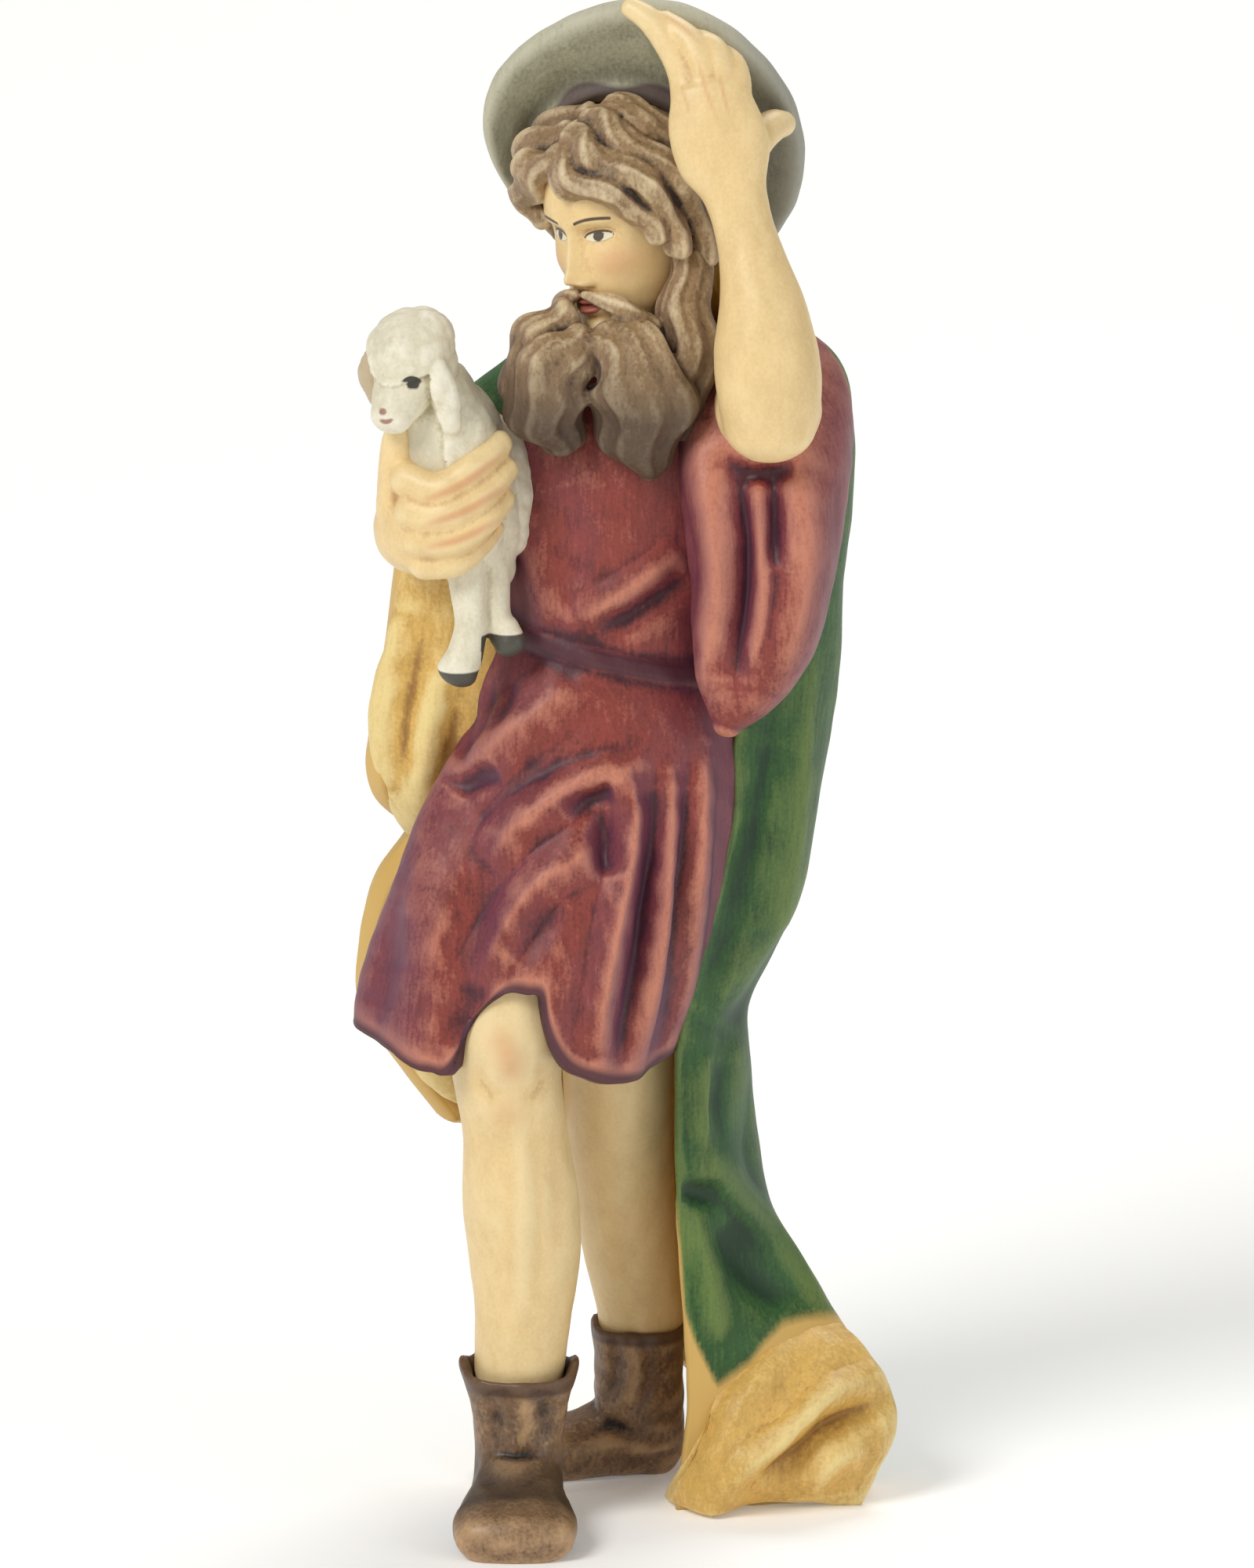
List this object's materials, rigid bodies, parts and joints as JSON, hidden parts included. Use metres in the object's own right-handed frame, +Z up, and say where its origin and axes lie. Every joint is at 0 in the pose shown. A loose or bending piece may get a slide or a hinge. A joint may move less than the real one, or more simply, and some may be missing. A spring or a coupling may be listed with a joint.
{
  "type": "good shepherd statue",
  "caption": "Carved and painted wooden shepherd, standing, with a lamb on one arm and his other hand lifting a wide hat; a nativity-scale figure in one piece.",
  "frame": {"origin": "on the ground, under the middle of the figure's plan", "axes": "+Z up through the standing figure, -Y towards the figure's front, +X towards the arm that lifts the hat"},
  "size_m": [0.0526, 0.0468, 0.1505],
  "materials": {
    "painted_wood": "satin paint over maple",
    "flesh_paint": "satin paint over maple",
    "tunic_paint": "satin wash over maple",
    "cloak_paint": "satin wash over maple",
    "lining_paint": "satin wash over maple",
    "hair_paint": "satin wash over maple",
    "hat_paint": "satin wash over maple",
    "boot_paint": "satin wash over maple",
    "lamb_paint": "satin paint over maple"
  },
  "bodies": {
    "root": {"shepherd_statue": "painted_wood"}
  },
  "joints": []
}
